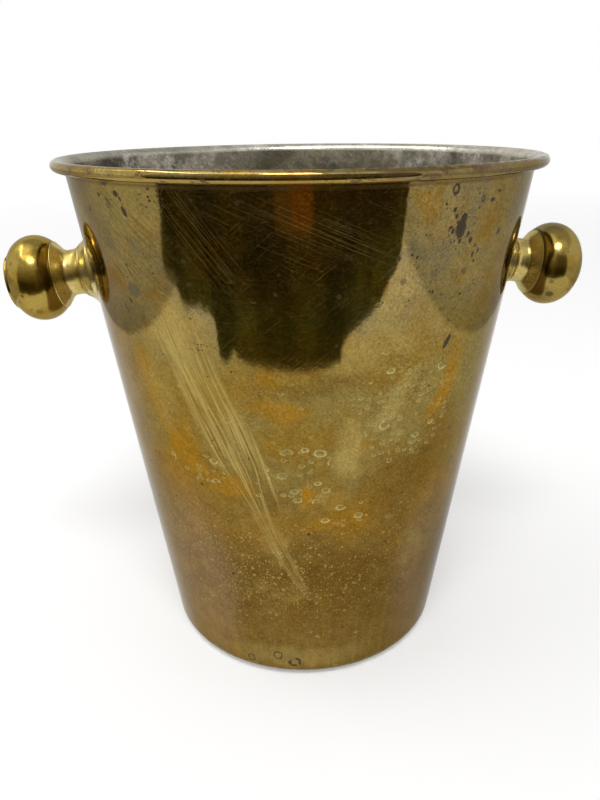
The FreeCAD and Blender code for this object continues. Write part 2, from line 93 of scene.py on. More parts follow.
class Graph:
    """One material's nodes."""

    def __init__(self, name):
        self.material = bpy.data.materials.new(name)
        self.material.use_nodes = True
        self.tree = self.material.node_tree
        self.tree.nodes.clear()
        self.turns = {}

    def feed(self, socket, value):
        if isinstance(value, Value):
            value = value.socket
        if isinstance(value, bpy.types.NodeSocket):
            self.tree.links.new(value, socket)
        elif isinstance(value, tuple) and socket.type == "RGBA":
            socket.default_value = (*value, 1)
        else:
            socket.default_value = value

    def node(self, kind, inputs, out=0, **settings):
        """Adds a node and returns one of its outputs."""
        node = self.tree.nodes.new("ShaderNode" + kind)
        for name, setting in settings.items():
            setattr(node, name, setting)
        for key, value in inputs.items():
            self.feed(node.inputs[key], value)
        return node.outputs[out]

    def math(self, operation, *values):
        return Value(self, self.node("Math", dict(enumerate(values)), operation=operation))

    def highest(self, *values):
        top = values[0]
        for value in values[1:]:
            top = self.math("MAXIMUM", top, value)
        return top

    def size(self, value):
        return self.math("ABSOLUTE", value)

    def place(self):
        """The surface point in the frame's axes."""
        return self.node("TexCoord", {}, out="Object")

    def split(self, vector):
        separate = self.node("SeparateXYZ", {0: vector}).node
        return [Value(self, output) for output in separate.outputs]

    def join(self, x, y, z=0.0):
        return self.node("CombineXYZ", {0: x, 1: y, 2: z})

    def grey(self, value):
        return self.node("CombineColor", {0: value, 1: value, 2: value})

    def length(self, vector):
        return Value(self, self.node("VectorMath", {0: vector}, out="Value", operation="LENGTH"))

    def fit(self, vector, centre=(0, 0), turn=0.0, size=(1, 1)):
        """The vector seen from a centre, turned anticlockwise, with each of its sizes as 1."""
        inputs = {"Vector": vector, "Location": (*centre, 0), "Rotation": (0, 0, turn),
                  "Scale": (*size, 1)}
        return self.node("Mapping", inputs, vector_type="TEXTURE")

    def noise(self, vector, scale, detail=2.0, roughness=0.5, flat=False):
        inputs = {"Vector": vector, "Scale": scale, "Detail": detail, "Roughness": roughness}
        return Value(self, self.node("TexNoise", inputs, noise_dimensions="2D" if flat else "3D"))

    def drift(self, vector, scale, reach, detail=2.0):
        """The vector pushed about by up to about half the reach."""
        inputs = {"Vector": vector, "Scale": scale, "Detail": detail}
        push = self.node("TexNoise", inputs, out="Color")
        centred = self.node("VectorMath", {0: push, 1: (0.5, 0.5, 0.5)}, operation="SUBTRACT")
        inputs = {0: centred, 1: (reach, reach, reach), 2: vector}
        return self.node("VectorMath", inputs, operation="MULTIPLY_ADD")

    def cells(self, vector, scale, flat=True):
        """The nearest scattered point: distance in cells, three random numbers, way from it."""
        inputs = {"Vector": vector, "Scale": scale}
        node = self.node("TexVoronoi", inputs, voronoi_dimensions="2D" if flat else "3D").node
        chance = self.node("SeparateColor", {0: node.outputs["Color"]}).node
        inputs = {0: vector, 1: node.outputs["Position"]}
        offset = self.node("VectorMath", inputs, operation="SUBTRACT")
        distance = Value(self, node.outputs["Distance"])
        return distance, [Value(self, out) for out in chance.outputs], offset

    def ramp(self, value, low, high, start=0.0, end=1.0):
        """Runs smoothly from start to end as the value goes from low to high."""
        if isinstance(low, float) and isinstance(high, float) and high < low:
            low, high, start, end = high, low, end, start
        inputs = {0: value, 1: low, 2: high, 3: start, 4: end}
        return Value(self, self.node("MapRange", inputs, interpolation_type="SMOOTHSTEP"))

    def curve(self, value, points):
        """A smooth curve through points whose two coordinates run from 0 to 1."""
        output = self.node("FloatCurve", {"Value": value})
        mapping = output.node.mapping
        line = mapping.curves[0].points
        line[0].location, line[1].location = points[0], points[-1]
        for point in points[1:-1]:
            line.new(*point)
        mapping.update()
        return Value(self, output)

    def mix(self, amount, low, high, blend="MIX"):
        """A colour between two."""
        inputs = {0: amount, 6: low, 7: high}
        return self.node("Mix", inputs, out=2, data_type="RGBA", blend_type=blend)

    def vary(self, colour, value, low, high, darkest, lightest):
        """The colour made darker where the value is low and lighter where it is high."""
        shade = self.ramp(value, low, high, darkest, lightest)
        return self.mix(1.0, colour, self.grey(shade), "MULTIPLY")

    def between(self, amount, low, high):
        """A number between two."""
        return Value(self, self.node("Mix", {0: amount, 2: low, 3: high}))

    def turned(self, vector, turn):
        """The vector seen from axes turned anticlockwise."""
        key = (vector.node.name, round(turn, 3))
        if key not in self.turns:
            axes = [(cos(turn), sin(turn), 0), (-sin(turn), cos(turn), 0)]
            self.turns[key] = self.join(*[
                self.node("VectorMath", {0: vector, 1: axis}, out="Value", operation="DOT_PRODUCT")
                for axis in axes])
        return self.turns[key]

    def reach(self, vector, centre, size, turn=0.0):
        """Distance from a centre, which is 1 on an oval as wide and as high as the size."""
        x, y = centre
        if turn:
            vector = self.turned(vector, turn)
            x, y = x * cos(turn) + y * sin(turn), y * cos(turn) - x * sin(turn)
        wide, high = size[0] / 2, size[1] / 2
        inputs = {0: vector, 1: (1 / wide, 1 / high, 0), 2: (-x / wide, -y / high, 0)}
        return self.length(self.node("VectorMath", inputs, operation="MULTIPLY_ADD"))

    def patch(self, vector, centre, size, turn=0.0, core=0.3):
        """A soft oval: 1 in its core, 0 at its edge."""
        return self.ramp(self.reach(vector, centre, size, turn), 1.0, core)

    def circle(self, vector, centre, size, turn, width):
        """A soft closed line round an oval."""
        reach = self.reach(vector, centre, size, turn)
        return self.ramp(self.size(reach - (1 - width)), width, width * 0.4)

    def near(self, place, point, radius, core=0.5):
        """A soft ball round a point: 1 in its core, 0 at its radius."""
        offset = self.node("VectorMath", {0: place, 1: point}, operation="SUBTRACT")
        return self.ramp(self.length(offset) / radius, 1.0, core)

    def finish(self, shader):
        output = self.tree.nodes.new("ShaderNodeOutputMaterial")
        self.tree.links.new(shader, output.inputs["Surface"])
        return self.material

    def metal(self, colour, metallic, roughness, height, depth):
        """Ends the graph in a metal with relief."""
        bump = self.node("Bump", {"Strength": 1.0, "Distance": depth, "Height": height})
        inputs = {"Base Color": colour, "Metallic": metallic, "Roughness": roughness,
                  "Normal": bump, "Specular Tint": EDGE_TINT}
        return self.finish(self.node("BsdfPrincipled", inputs))


# Colours of the brass under a white sky.
KHAKI = tone(125, 108, 56)
GOLD = tone(129, 101, 37)
ORANGE = tone(147, 106, 22)
BROWN = tone(102, 76, 26)
OLIVE = tone(116, 104, 58)
PALE = tone(159, 139, 79)
LOW = tone(118, 92, 40)
TOP = tone(154, 134, 84)
ROSE = tone(156, 130, 104)
ROSE_BROWN = tone(124, 105, 78)
GREYED = tone(130, 118, 86)
WIPED = tone(176, 153, 86)
# the drops' pale rims, which also carry a painted highlight
DROP_EDGE_AND_HIGHLIGHT = tone(202, 188, 118)
DROP = tone(138, 130, 82)
# painted shade in the drops' upper insides
DROP_SHADE = tone(92, 78, 38)
SPECK = tone(170, 142, 80)
DARK_SPOT = tone(50, 36, 28)
GREY_GREEN = tone(98, 90, 62)
FRESH = tone(186, 164, 100)

# What the metals keep of the light that grazes them.
EDGE_TINT = (0.64, 0.62, 0.56)

# How rough the clean brass is, and how deep the relief is in metres where its height is 1.
POLISH = 0.055
RELIEF_DEPTH = 0.00002

# The wiped band: its foot and its top, the farthest that its middle may lie to the left, and the
# most that half its width may be. Then a row for each height: height, middle, half the width.
WIPE_FOOT, WIPE_TOP, WIPE_SIDE, WIPE_WIDEST = 0.050, 0.182, 0.060, 0.013
WIPE = [
    (0.050, -0.0055, 0.0006), (0.054, -0.0075, 0.0018), (0.062, -0.0115, 0.0031),
    (0.074, -0.0170, 0.0037), (0.085, -0.0214, 0.0040), (0.095, -0.0250, 0.0048),
    (0.104, -0.0280, 0.0066), (0.113, -0.0310, 0.0088), (0.122, -0.0342, 0.0102),
    (0.132, -0.0378, 0.0104), (0.142, -0.0416, 0.0100), (0.152, -0.0452, 0.0098),
    (0.162, -0.0482, 0.0102), (0.182, -0.0530, 0.0110),
]

# Dark spots on the wall, in metres: how far round, height, width, height across, turn.
SPOTS = [
    (0.0430, 0.2008, 0.0050, 0.0082, 0.0), (0.0436, 0.2042, 0.0030, 0.0040, 0.0),
    (0.0461, 0.1600, 0.0028, 0.0070, -0.45), (-0.0686, 0.2164, 0.0042, 0.0034, 0.0),
    (-0.0730, 0.2118, 0.0018, 0.0018, 0.4), (-0.0640, 0.2127, 0.0030, 0.0022, -0.45),
    (-0.0624, 0.2113, 0.0010, 0.0022, 0.4), (-0.0616, 0.2071, 0.0022, 0.0044, 0.4),
    (-0.0813, 0.2065, 0.0014, 0.0022, 0.0), (-0.0833, 0.1935, 0.0022, 0.0022, 0.4),
    (-0.0665, 0.1884, 0.0010, 0.0016, 0.0), (0.0358, 0.2092, 0.0013, 0.0013, 0.0),
    (0.0393, 0.2073, 0.0016, 0.0022, 0.0), (0.0404, 0.2050, 0.0014, 0.0020, -0.45),
    (0.0386, 0.2016, 0.0016, 0.0018, -0.45), (0.0398, 0.2000, 0.0016, 0.0018, -0.45),
    (0.0466, 0.1984, 0.0016, 0.0026, -0.45), (0.0482, 0.1964, 0.0020, 0.0028, -0.45),
    (0.0434, 0.1966, 0.0012, 0.0018, 0.0), (0.0508, 0.1942, 0.0010, 0.0018, -0.45),
    (0.0531, 0.1922, 0.0012, 0.0024, -0.45), (0.0506, 0.1910, 0.0012, 0.0024, 0.0),
    (0.0518, 0.1888, 0.0010, 0.0016, 0.0), (0.0263, 0.1939, 0.0013, 0.0013, 0.0),
    (0.0280, 0.1929, 0.0011, 0.0011, 0.0), (0.0346, 0.1804, 0.0010, 0.0012, 0.0),
    (0.0357, 0.1801, 0.0012, 0.0014, 0.0), (0.0482, 0.1775, 0.0012, 0.0012, 0.0),
    (0.0634, 0.1974, 0.0022, 0.0030, -0.45), (0.0556, 0.2090, 0.0028, 0.0018, 0.0),
]
# The same for fainter stains.
STAINS = [
    (-0.0686, 0.2093, 0.0032, 0.0056, 0.4), (-0.0655, 0.1862, 0.0014, 0.0050, 0.4),
    (-0.0687, 0.1752, 0.0016, 0.0034, 0.4), (-0.0722, 0.1715, 0.0018, 0.0050, 0.4),
    (0.0480, 0.1857, 0.0036, 0.0026, -0.45), (0.0244, 0.1850, 0.0028, 0.0028, 0.0),
    (0.0404, 0.1733, 0.0020, 0.0022, 0.0), (0.0552, 0.1797, 0.0050, 0.0008, -0.45),
]


def strokes(g, wall, turn, seed, length=0.03, gap=0.0006, low=0.5, high=0.72):
    """Fine hairlines that run at a turn from the horizontal."""
    fitted = g.fit(wall, (seed, -seed), turn, (length, gap))
    return g.ramp(g.noise(fitted, 1.0, 1.0, flat=True), low, high)


def drops(g, wall, scale, seed, share):
    """Dried drops: (their pale rims, brightest at the bottom as a painted highlight, their
    insides, the painted shade in the upper part of each inside).
    """
    fitted = g.fit(wall, (seed, seed), 0.0, (1.5, 1.0))
    distance, (pick, radius, edge), offset = g.cells(fitted, scale)
    radius = 0.15 + radius * 0.15
    there = g.ramp(pick + share, 1.0, 1.02)
    outline_and_highlight = g.ramp(g.size(distance - radius), 0.08, 0.02) * there * (0.5 + edge * 0.5)
    inside = g.ramp(distance - radius, 0.0, -0.08) * there
    height = g.split(offset)[1] * scale / radius
    # painted highlight: each rim is brightest at its bottom; the last value returned is painted
    # shade in the upper part of each inside
    outline_and_highlight = outline_and_highlight * g.ramp(height, 1.0, -0.6, 0.55, 1.0)
    return outline_and_highlight, inside, inside * g.ramp(height, -0.2, 0.6)


def dots(g, vector, scale, share, largest, seed=0.0, flat=True):
    """Scattered round dots of differing sizes."""
    distance, (pick, radius, _), _ = g.cells(g.fit(vector, (seed, seed)), scale, flat)
    radius = largest * (0.35 + radius * 0.65)
    return g.ramp(distance / radius, 1.0, 0.65) * g.ramp(pick + share, 1.0, 1.02)


def wiped_band(g, wall, around, z):
    """The band that a hand has wiped, whose streaks draw together at its foot."""
    rise = (z - WIPE_FOOT) / (WIPE_TOP - WIPE_FOOT)
    heights = [(height - WIPE_FOOT) / (WIPE_TOP - WIPE_FOOT) for height, _, _ in WIPE]
    middles = [(side + WIPE_SIDE) / WIPE_SIDE for _, side, _ in WIPE]
    halves = [half / WIPE_WIDEST for _, _, half in WIPE]
    middle = g.curve(rise, list(zip(heights, middles))) * WIPE_SIDE - WIPE_SIDE
    half = g.curve(rise, list(zip(heights, halves))) * WIPE_WIDEST
    across = (around - middle) / half
    across = across + (g.noise(g.fit(wall, (0.4, 0.1)), 45, 1, flat=True) - 0.5) * 0.15
    broad = g.noise(g.join(across * 2.6, z * 24), 1.0, 2, 0.5, flat=True)
    narrow = g.noise(g.join(across * 11, z * 34), 1.0, 3, 0.65, flat=True)
    hairs = g.noise(g.join(across * 24, z * 50), 1.0, 2, 0.6, flat=True)
    streak = g.ramp(broad * 0.35 + narrow * 0.65, 0.44, 0.56)
    ends = g.ramp(z, 0.0500, 0.0530) * g.ramp(z, 0.186, 0.150, 0.0, 1.0)
    inside_band = g.ramp(g.size(across), 1.15, 0.7) * ends
    wiped = inside_band * g.highest(streak, g.ramp(z, 0.12, 0.15) * 0.4)
    wiped = wiped * g.ramp(hairs, 0.35, 0.6, 0.4, 1.0)
    hair = g.patch(wall, (-0.0213, 0.1141), (0.0020, 0.052), 0.267, 0.2)
    wiped = g.highest(wiped, hair * 0.8) * g.ramp(z, 0.075, 0.115, 0.55, 0.9)
    return wiped, inside_band, narrow


def scratches(g, wall):
    """Hairline scratches, in bundles."""
    bundles = g.noise(g.fit(wall, (0.5, 0.3), -0.45, (0.03, 0.008)), 1.0, 2, flat=True)
    return g.highest(
        strokes(g, wall, -0.46, 0.13, 0.05) * g.ramp(bundles, 0.55, 0.7) * 0.35,
        strokes(g, wall, -0.46, 0.23, 0.045, 0.0005)
        * g.patch(wall, (0.000, 0.202), (0.064, 0.020), -0.45, 0.1),
        strokes(g, wall, -0.98, 0.47, 0.040, 0.0005)
        * g.patch(wall, (-0.036, 0.200), (0.022, 0.055), 0.5, 0.1),
        strokes(g, wall, -0.75, 0.91, 0.040, 0.0005)
        * g.patch(wall, (-0.054, 0.180), (0.04, 0.09), 0.3) * 0.6,
        strokes(g, wall, 0.75, 0.31, 0.02, 0.0007, 0.68, 0.78) * 0.35,
        strokes(g, wall, 0.02, 0.61, 0.06, 0.0004, 0.64, 0.78) * 0.2,
    )


def dark_marks(g, wall, ragged, around, z):
    """Dark spots, rings and stains."""
    spotted = g.drift(wall, 900, 0.0010, 2)
    spotty = g.ramp(z, 0.150, 0.195) * g.ramp(g.size(around), 0.01, 0.035)
    dark = g.highest(
        dots(g, ragged, 330, 0.05 + spotty * 0.16, 0.14, 0.8) * 0.8,
        dots(g, ragged, 110, 0.05 + spotty * 0.1, 0.12, 0.15) * 0.8,
        g.circle(spotted, (0.0384, 0.2137), (0.0030, 0.0042), 0.0, 0.34) * 0.85,
        g.circle(spotted, (0.0506, 0.2097), (0.0022, 0.0026), 0.0, 0.38) * 0.75,
        g.circle(ragged, (-0.0373, 0.0081), (0.0050, 0.0052), 0.0, 0.26) * 0.6,
        g.circle(ragged, (-0.0216, 0.0129), (0.0058, 0.0056), 0.0, 0.22) * 0.65,
        g.circle(ragged, (-0.0300, 0.0240), (0.0040, 0.0050), 0.0, 0.16) * 0.35,
        g.circle(ragged, (-0.0123, 0.0092), (0.0080, 0.0062), 0.2, 0.28)
        * g.ramp(g.noise(ragged, 260, 1, flat=True), 0.40, 0.50) * 0.9,
        dots(g, ragged, 800, 0.45, 0.4, 0.7)
        * g.patch(wall, (-0.0400, 0.1620), (0.014, 0.006), 0.1, 0.4) * 0.8,
        dots(g, ragged, 600, 0.45, 0.4, 0.5)
        * g.patch(wall, (-0.0500, 0.2120), (0.014, 0.012), 0.0, 0.3) * 0.85,
        dots(g, ragged, 700, 0.30, 0.4, 0.35)
        * g.patch(wall, (0.0430, 0.1990), (0.022, 0.024), 0.0, 0.3) * 0.8,
        dots(g, ragged, 420, 0.50, 0.4, 0.5)
        * g.patch(wall, (0.0330, 0.0760), (0.016, 0.014), 0.4, 0.3) * 0.6,
        dots(g, ragged, 650, 0.30, 0.3, 0.25)
        * g.patch(wall, (-0.0810, 0.1860), (0.016, 0.030), 0.0, 0.3) * 0.7,
    )
    for u, v, wide, high, turn in SPOTS:
        dark = g.highest(dark, g.patch(spotted, (u, v), (wide, high), turn, 0.65) * 0.9)
    for u, v, wide, high, turn in STAINS:
        dark = g.highest(dark, g.patch(spotted, (u, v), (wide, high), turn, 0.5) * 0.45)
    return dark


def silvering(g, place, wall, x, z, mottle, grain):
    """The tarnished silver inside: its colour, its roughness, and where it is cloudy."""
    tarnish = g.noise(place, 75, 6, 0.75)
    silver = g.mix(g.ramp(tarnish, 0.38, 0.60), tone(178, 172, 158), tone(106, 100, 86))
    cloudy = g.ramp(g.noise(g.fit(place, (0.4, 0.4)), 42, 6, 0.75), 0.50, 0.64)
    silver = g.mix(cloudy * 0.85, silver, tone(66, 62, 54))
    crusty = g.ramp(g.noise(place, 330, 4, 0.7), 0.44, 0.56)
    blackened = g.highest(
        g.near(place, (-0.082, 0.046, 0.214), 0.030, 0.0) * g.ramp(tarnish, 0.36, 0.5),
        g.near(place, (-0.062, 0.070, 0.214), 0.018, 0.0) * g.ramp(tarnish, 0.46, 0.56) * 0.8,
    ) * crusty
    dull = g.near(place, (-0.094, 0.010, 0.210), 0.055, 0.1)
    silver = g.mix(dull * 0.75, silver, tone(86, 80, 68))
    silver = g.mix(blackened * 0.8, silver, tone(52, 47, 41))
    deep = g.ramp(z, 0.205, 0.185)
    silver = g.mix(deep * 0.65, silver, tone(208, 204, 192))
    brushed = g.noise(g.fit(wall, (0.2, 0.6), 0.6, (0.02, 0.0009)), 1.0, 3, 0.6, flat=True)
    silver = g.vary(silver, brushed, 0.35, 0.65, 0.9, 1.1)
    # the lip is made paler: partly wear, partly a painted highlight, strongest from the middle to
    # the right
    worn_and_highlit_lip = g.ramp(z, BUCKET_HEIGHT - 0.0040, BUCKET_HEIGHT - 0.0015)
    silver = g.mix(worn_and_highlit_lip * g.ramp(x, -0.09, -0.01, 0.35, 0.8), silver, tone(206, 202, 188))
    silver = g.vary(silver, mottle, 0.3, 0.7, 0.78, 1.25)
    silver = g.vary(silver, grain, 0.3, 0.7, 0.85, 1.15)
    roughness = 0.24 + g.ramp(tarnish, 0.4, 0.7) * 0.12 + cloudy * 0.15 - worn_and_highlit_lip * 0.08
    return silver, roughness, cloudy


def shell_material():
    """Tarnished brass outside and silver inside."""
    g = Graph("shell_brass")
    place = g.place()
    x, y, z = g.split(place)
    radius = g.math("SQRT", x * x + y * y)
    around = g.math("ARCTAN2", x, -y) * WRAP_RADIUS
    wall = g.join(around, z)
    loose = g.drift(wall, 70, 0.014, 3)
    ragged = g.drift(wall, 500, 0.0014, 2)

    # cloudy colour, from the widest variation to the finest
    cloud = g.noise(place, 26, 4, 0.6)
    warm = g.noise(g.fit(place, (0.3, 0.1)), 17, 4, 0.6)
    mottle = g.noise(place, 150, 4, 0.65)
    grain = g.noise(place, 1100, 3, 0.7)
    body = g.mix(g.ramp(z, 0.075, 0.125), LOW, g.mix(g.ramp(cloud, 0.4, 0.6), KHAKI, GOLD))
    colour = g.mix(g.ramp(warm, 0.5, 0.66) * 0.6, body, ORANGE)
    orange = [
        ((-0.0675, 0.1415), (0.012, 0.050), 0.12, 0.75),
        ((-0.055, 0.116), (0.020, 0.040), 0.45, 0.9),
        ((-0.036, 0.104), (0.026, 0.020), -0.2, 0.75),
        ((0.050, 0.141), (0.014, 0.050), -0.35, 1.0),
        ((-0.004, 0.103), (0.007, 0.016), 0.1, 1.0),
        ((-0.013, 0.139), (0.03, 0.012), 0.0, 0.6),
        ((0.012, 0.122), (0.014, 0.012), -0.7, 0.6),
        ((0.004, 0.088), (0.045, 0.010), 0.05, 0.6),
        ((-0.018, 0.153), (0.012, 0.012), 0.0, 0.6),
        ((0.0351, 0.1992), (0.006, 0.007), 0.0, 0.8),
        ((-0.06, 0.075), (0.03, 0.02), 0.0, 0.4),
    ]
    for centre, size, turn, amount in orange:
        colour = g.mix(g.patch(loose, centre, size, turn) * amount, colour, ORANGE)
    low = g.ramp(z, 0.092, 0.062) * g.ramp(z, 0.02, 0.045)
    colour = g.mix(low * g.ramp(cloud, 0.35, 0.6, 0.3, 0.95), colour, BROWN)
    top = g.ramp(z, 0.150, 0.185)
    colour = g.mix(top * g.ramp(cloud, 0.3, 0.6, 0.95, 0.55), colour, TOP)
    tint = g.noise(g.fit(place, (0.9, 0.6)), 48, 3, 0.55)
    colour = g.mix(top * g.ramp(tint, 0.53, 0.63) * 0.6, colour, ORANGE)
    colour = g.mix(top * g.ramp(tint, 0.48, 0.37) * 0.75, colour, GREYED)
    side = g.ramp(g.size(around), 0.066, 0.098) * g.ramp(g.size(around), 0.20, 0.15)
    rose = g.mix(g.ramp(around, -0.02, 0.02), ROSE, ROSE_BROWN)
    colour = g.mix(side * g.ramp(warm, 0.35, 0.55, 1.0, 0.6), colour, rose)
    rosy = g.patch(g.join(g.size(around), z), (0.062, 0.050), (0.060, 0.130))
    colour = g.mix(rosy * 0.4, colour, ROSE)
    # painted light: the wall round the handles is made paler, so that the balls' reflections of it
    # come out lighter
    painted_light_by_handles = g.patch(g.join(g.size(around), z), (0.1288, 0.172), (0.085, 0.095), core=0.2)
    colour = g.mix(painted_light_by_handles * 0.35, colour, PALE)
    colour = g.mix(g.patch(loose, (-0.060, 0.212), (0.060, 0.034)) * 0.85, colour, PALE)
    rubbed = g.patch(wall, (-0.0935, 0.188), (0.024, 0.050), core=0.6)
    colour = g.mix(rubbed * 0.7, colour, FRESH)
    for centre, size, turn, amount in [
        ((0.036, 0.102), (0.060, 0.046), 0.0, 0.65),
        ((-0.002, 0.149), (0.060, 0.014), 0.0, 0.40),
        ((0.050, 0.120), (0.030, 0.040), 0.0, 0.45),
        ((-0.020, 0.098), (0.016, 0.020), 0.4, 0.35),
    ]:
        colour = g.mix(g.patch(loose, centre, size, turn) * amount, colour, BROWN)
    pale = g.ramp(g.noise(g.fit(place, (0.7, 0.2)), 32, 4, 0.65), 0.54, 0.72) * 0.5
    for centre, size, turn, amount in [
        ((0.011, 0.121), (0.016, 0.032), 0.05, 0.75),
        ((0.026, 0.139), (0.012, 0.040), -0.55, 0.55),
        ((0.012, 0.160), (0.03, 0.022), 0.4, 0.45),
        ((-0.052, 0.166), (0.024, 0.030), 0.3, 0.6),
        ((-0.064, 0.142), (0.022, 0.044), 0.12, 0.35),
        ((-0.010, 0.012), (0.11, 0.016), 0.0, 0.42),
    ]:
        pale = g.highest(pale, g.patch(loose, centre, size, turn) * amount)
    colour = g.mix(pale, colour, PALE)
    above_handles = g.ramp(g.size(x), 0.083, 0.092) * g.ramp(z, 0.185, 0.200)
    colour = g.mix(above_handles * 0.9, colour, FRESH)
    colour = g.vary(colour, mottle, 0.3, 0.7, 0.88, 1.12)
    colour = g.mix(g.ramp(mottle, 0.55, 0.7) * 0.2, colour, OLIVE)
    colour = g.vary(colour, grain, 0.3, 0.7, 0.78, 1.25)

    # fine curls and brushing, thickest high on the right
    curls = g.size(g.noise(ragged, 420, 2, 0.55, flat=True) - 0.5)
    curled = g.highest(g.ramp(z, 0.110, 0.150) * g.ramp(around, -0.01, 0.03), 0.35)
    colour = g.mix(g.ramp(curls, 0.026, 0.004) * curled * 0.75, colour, PALE)
    dips = g.size(g.noise(g.fit(ragged, (0.3, 0.8)), 380, 2, 0.55, flat=True) - 0.5)
    colour = g.mix(g.ramp(dips, 0.026, 0.004) * curled * 0.6, colour, BROWN)
    brushed_left = g.patch(loose, (-0.066, 0.196), (0.040, 0.044), core=0.2)
    brushed_left = brushed_left * g.ramp(tint, 0.4, 0.55, 0.3, 0.8) + 0.1
    brushing = g.noise(g.fit(wall, (0.3, 0.7), -0.72, (0.018, 0.0006)), 1.0, 2, 0.6, flat=True)
    colour = g.vary(colour, (brushing - 0.5) * brushed_left, -0.12, 0.12, 0.80, 1.22)

    wiped, inside_band, narrow = wiped_band(g, wall, around, z)
    colour = g.mix(wiped, colour, WIPED)
    colour = g.mix(inside_band * g.ramp(narrow, 0.47, 0.38) * 0.5, colour, LOW)
    scored = scratches(g, wall)
    colour = g.mix(scored * 0.3, colour, PALE)

    # dried drops, with a painted highlight along the bottom of each rim and painted shade in the
    # upper part of each inside
    main = g.patch(loose, (-0.006, 0.111), (0.032, 0.034), core=0.6)
    right = g.patch(loose, (0.032, 0.134), (0.052, 0.048), core=0.6)
    rest = g.highest(
        g.patch(loose, (-0.048, 0.110), (0.036, 0.018), 0.2, 0.6),
        g.patch(loose, (0.012, 0.092), (0.050, 0.016), core=0.5) * 0.35,
    )
    big_share = 0.01 + main * 0.8 + right * 0.25 + rest * 0.6
    big_edge_and_highlight, big_inside, big_shade = drops(g, ragged, 205, 0.2, big_share)
    small_share = 0.03 + main * 0.3 + right * 0.5 + rest * 0.3
    small_edge_and_highlight, small_inside, small_shade = drops(g, ragged, 430, 0.6, small_share)
    # the drops' rims, with their painted highlight
    edge = g.highest(big_edge_and_highlight, small_edge_and_highlight * 0.9)
    inside = g.highest(big_inside, small_inside * 0.6)
    colour = g.mix(inside * 0.5, colour, DROP)
    # painted shade in the drops' upper insides
    colour = g.mix(g.highest(big_shade, small_shade * 0.6) * 0.45, colour, DROP_SHADE)
    # painted highlight on the drops' rims
    colour = g.mix(edge * 0.72, colour, DROP_EDGE_AND_HIGHLIGHT)

    # specks, thickest low down on the left
    band = g.ramp(z, 0.026, 0.048) * g.ramp(z, 0.098, 0.075)
    band = band * g.ramp(around, 0.03, -0.03, 0.45, 1.0)
    upper = g.ramp(z, 0.118, 0.132) * g.ramp(z, 0.17, 0.15)
    clumps = g.ramp(g.noise(wall, 60, 3, 0.6, flat=True), 0.35, 0.6, 0.4, 1.0)
    share = 0.12 + band * clumps * 0.6 + upper * 0.3
    specks = dots(g, ragged, 640, share, 0.34, 0.4) * (0.35 + band * 0.3)
    grains = dots(g, ragged, 300, 0.02 + band * clumps * 0.5, 0.27, 0.9) * 0.65
    specks = g.highest(specks, grains)
    colour = g.mix(specks, colour, SPECK)

    # soft streaks that run down to the base
    runs = g.noise(g.fit(wall, (0.1, 0.1), 0.0, (0.0028, 0.05)), 1.0, 3, 0.6, flat=True)
    foot = g.ramp(z, 0.05, 0.0)
    colour = g.mix(g.ramp(runs, 0.45, 0.75) * foot * 0.22, colour, PALE)

    dark = dark_marks(g, wall, ragged, around, z)
    oval = g.patch(ragged, (-0.0653, 0.1796), (0.0072, 0.0064), 0.0, 0.75) * 0.8
    colour = g.mix(oval, colour, GREY_GREEN)
    colour = g.mix(dark, colour, DARK_SPOT)

    # stains along the rim, dirt in the groove under it, and a painted reflection on the bead's
    # lower part
    rim = g.ramp(z, BUCKET_HEIGHT - 0.0056, BUCKET_HEIGHT - 0.0046)
    blotches = g.noise(g.fit(wall, (0.2, 0.0), 0.0, (0.006, 0.003)), 1.0, 4, 0.7, flat=True)
    stain = g.ramp(blotches + g.ramp(x, 0.03, 0.06) * 0.03, 0.57, 0.64)
    under = g.ramp(z, BUCKET_HEIGHT - 0.0026, BUCKET_HEIGHT - 0.0036)
    # painted reflection: the bead's lower part is made paler, as the pale table would light it
    colour = g.mix(rim * under * 0.62, colour, tone(154, 126, 56))
    colour = g.mix(rim * g.ramp(x, 0.005, 0.035) * 0.5, colour, tone(96, 84, 60))
    groove = g.ramp(z, BUCKET_HEIGHT - 0.0066, BUCKET_HEIGHT - 0.0052) * (1 - rim)
    marks = g.highest(
        g.patch(ragged, (0.0175, 0.2196), (0.012, 0.0028), 0.0, 0.5),
        g.patch(ragged, (0.0440, 0.2204), (0.0060, 0.0030), 0.0, 0.5),
        g.patch(ragged, (0.0275, 0.2186), (0.0050, 0.0016), 0.0, 0.5),
        g.patch(ragged, (-0.0090, 0.2208), (0.0030, 0.0012), 0.0, 0.4),
    )
    dirt = g.highest(stain * rim * 0.75, marks * rim * 0.6, groove * 0.6)
    colour = g.mix(dirt, colour, tone(92, 66, 44))

    roughness = (
        POLISH + g.ramp(cloud, 0.35, 0.7) * 0.02 + wiped * 0.05 + scored * 0.06
        + inside * 0.06 + specks * 0.05 + dark * 0.2 + oval * 0.2 + dirt * 0.15
    )

    silver, silver_rough, cloudy = silvering(g, place, wall, x, z, mottle, grain)

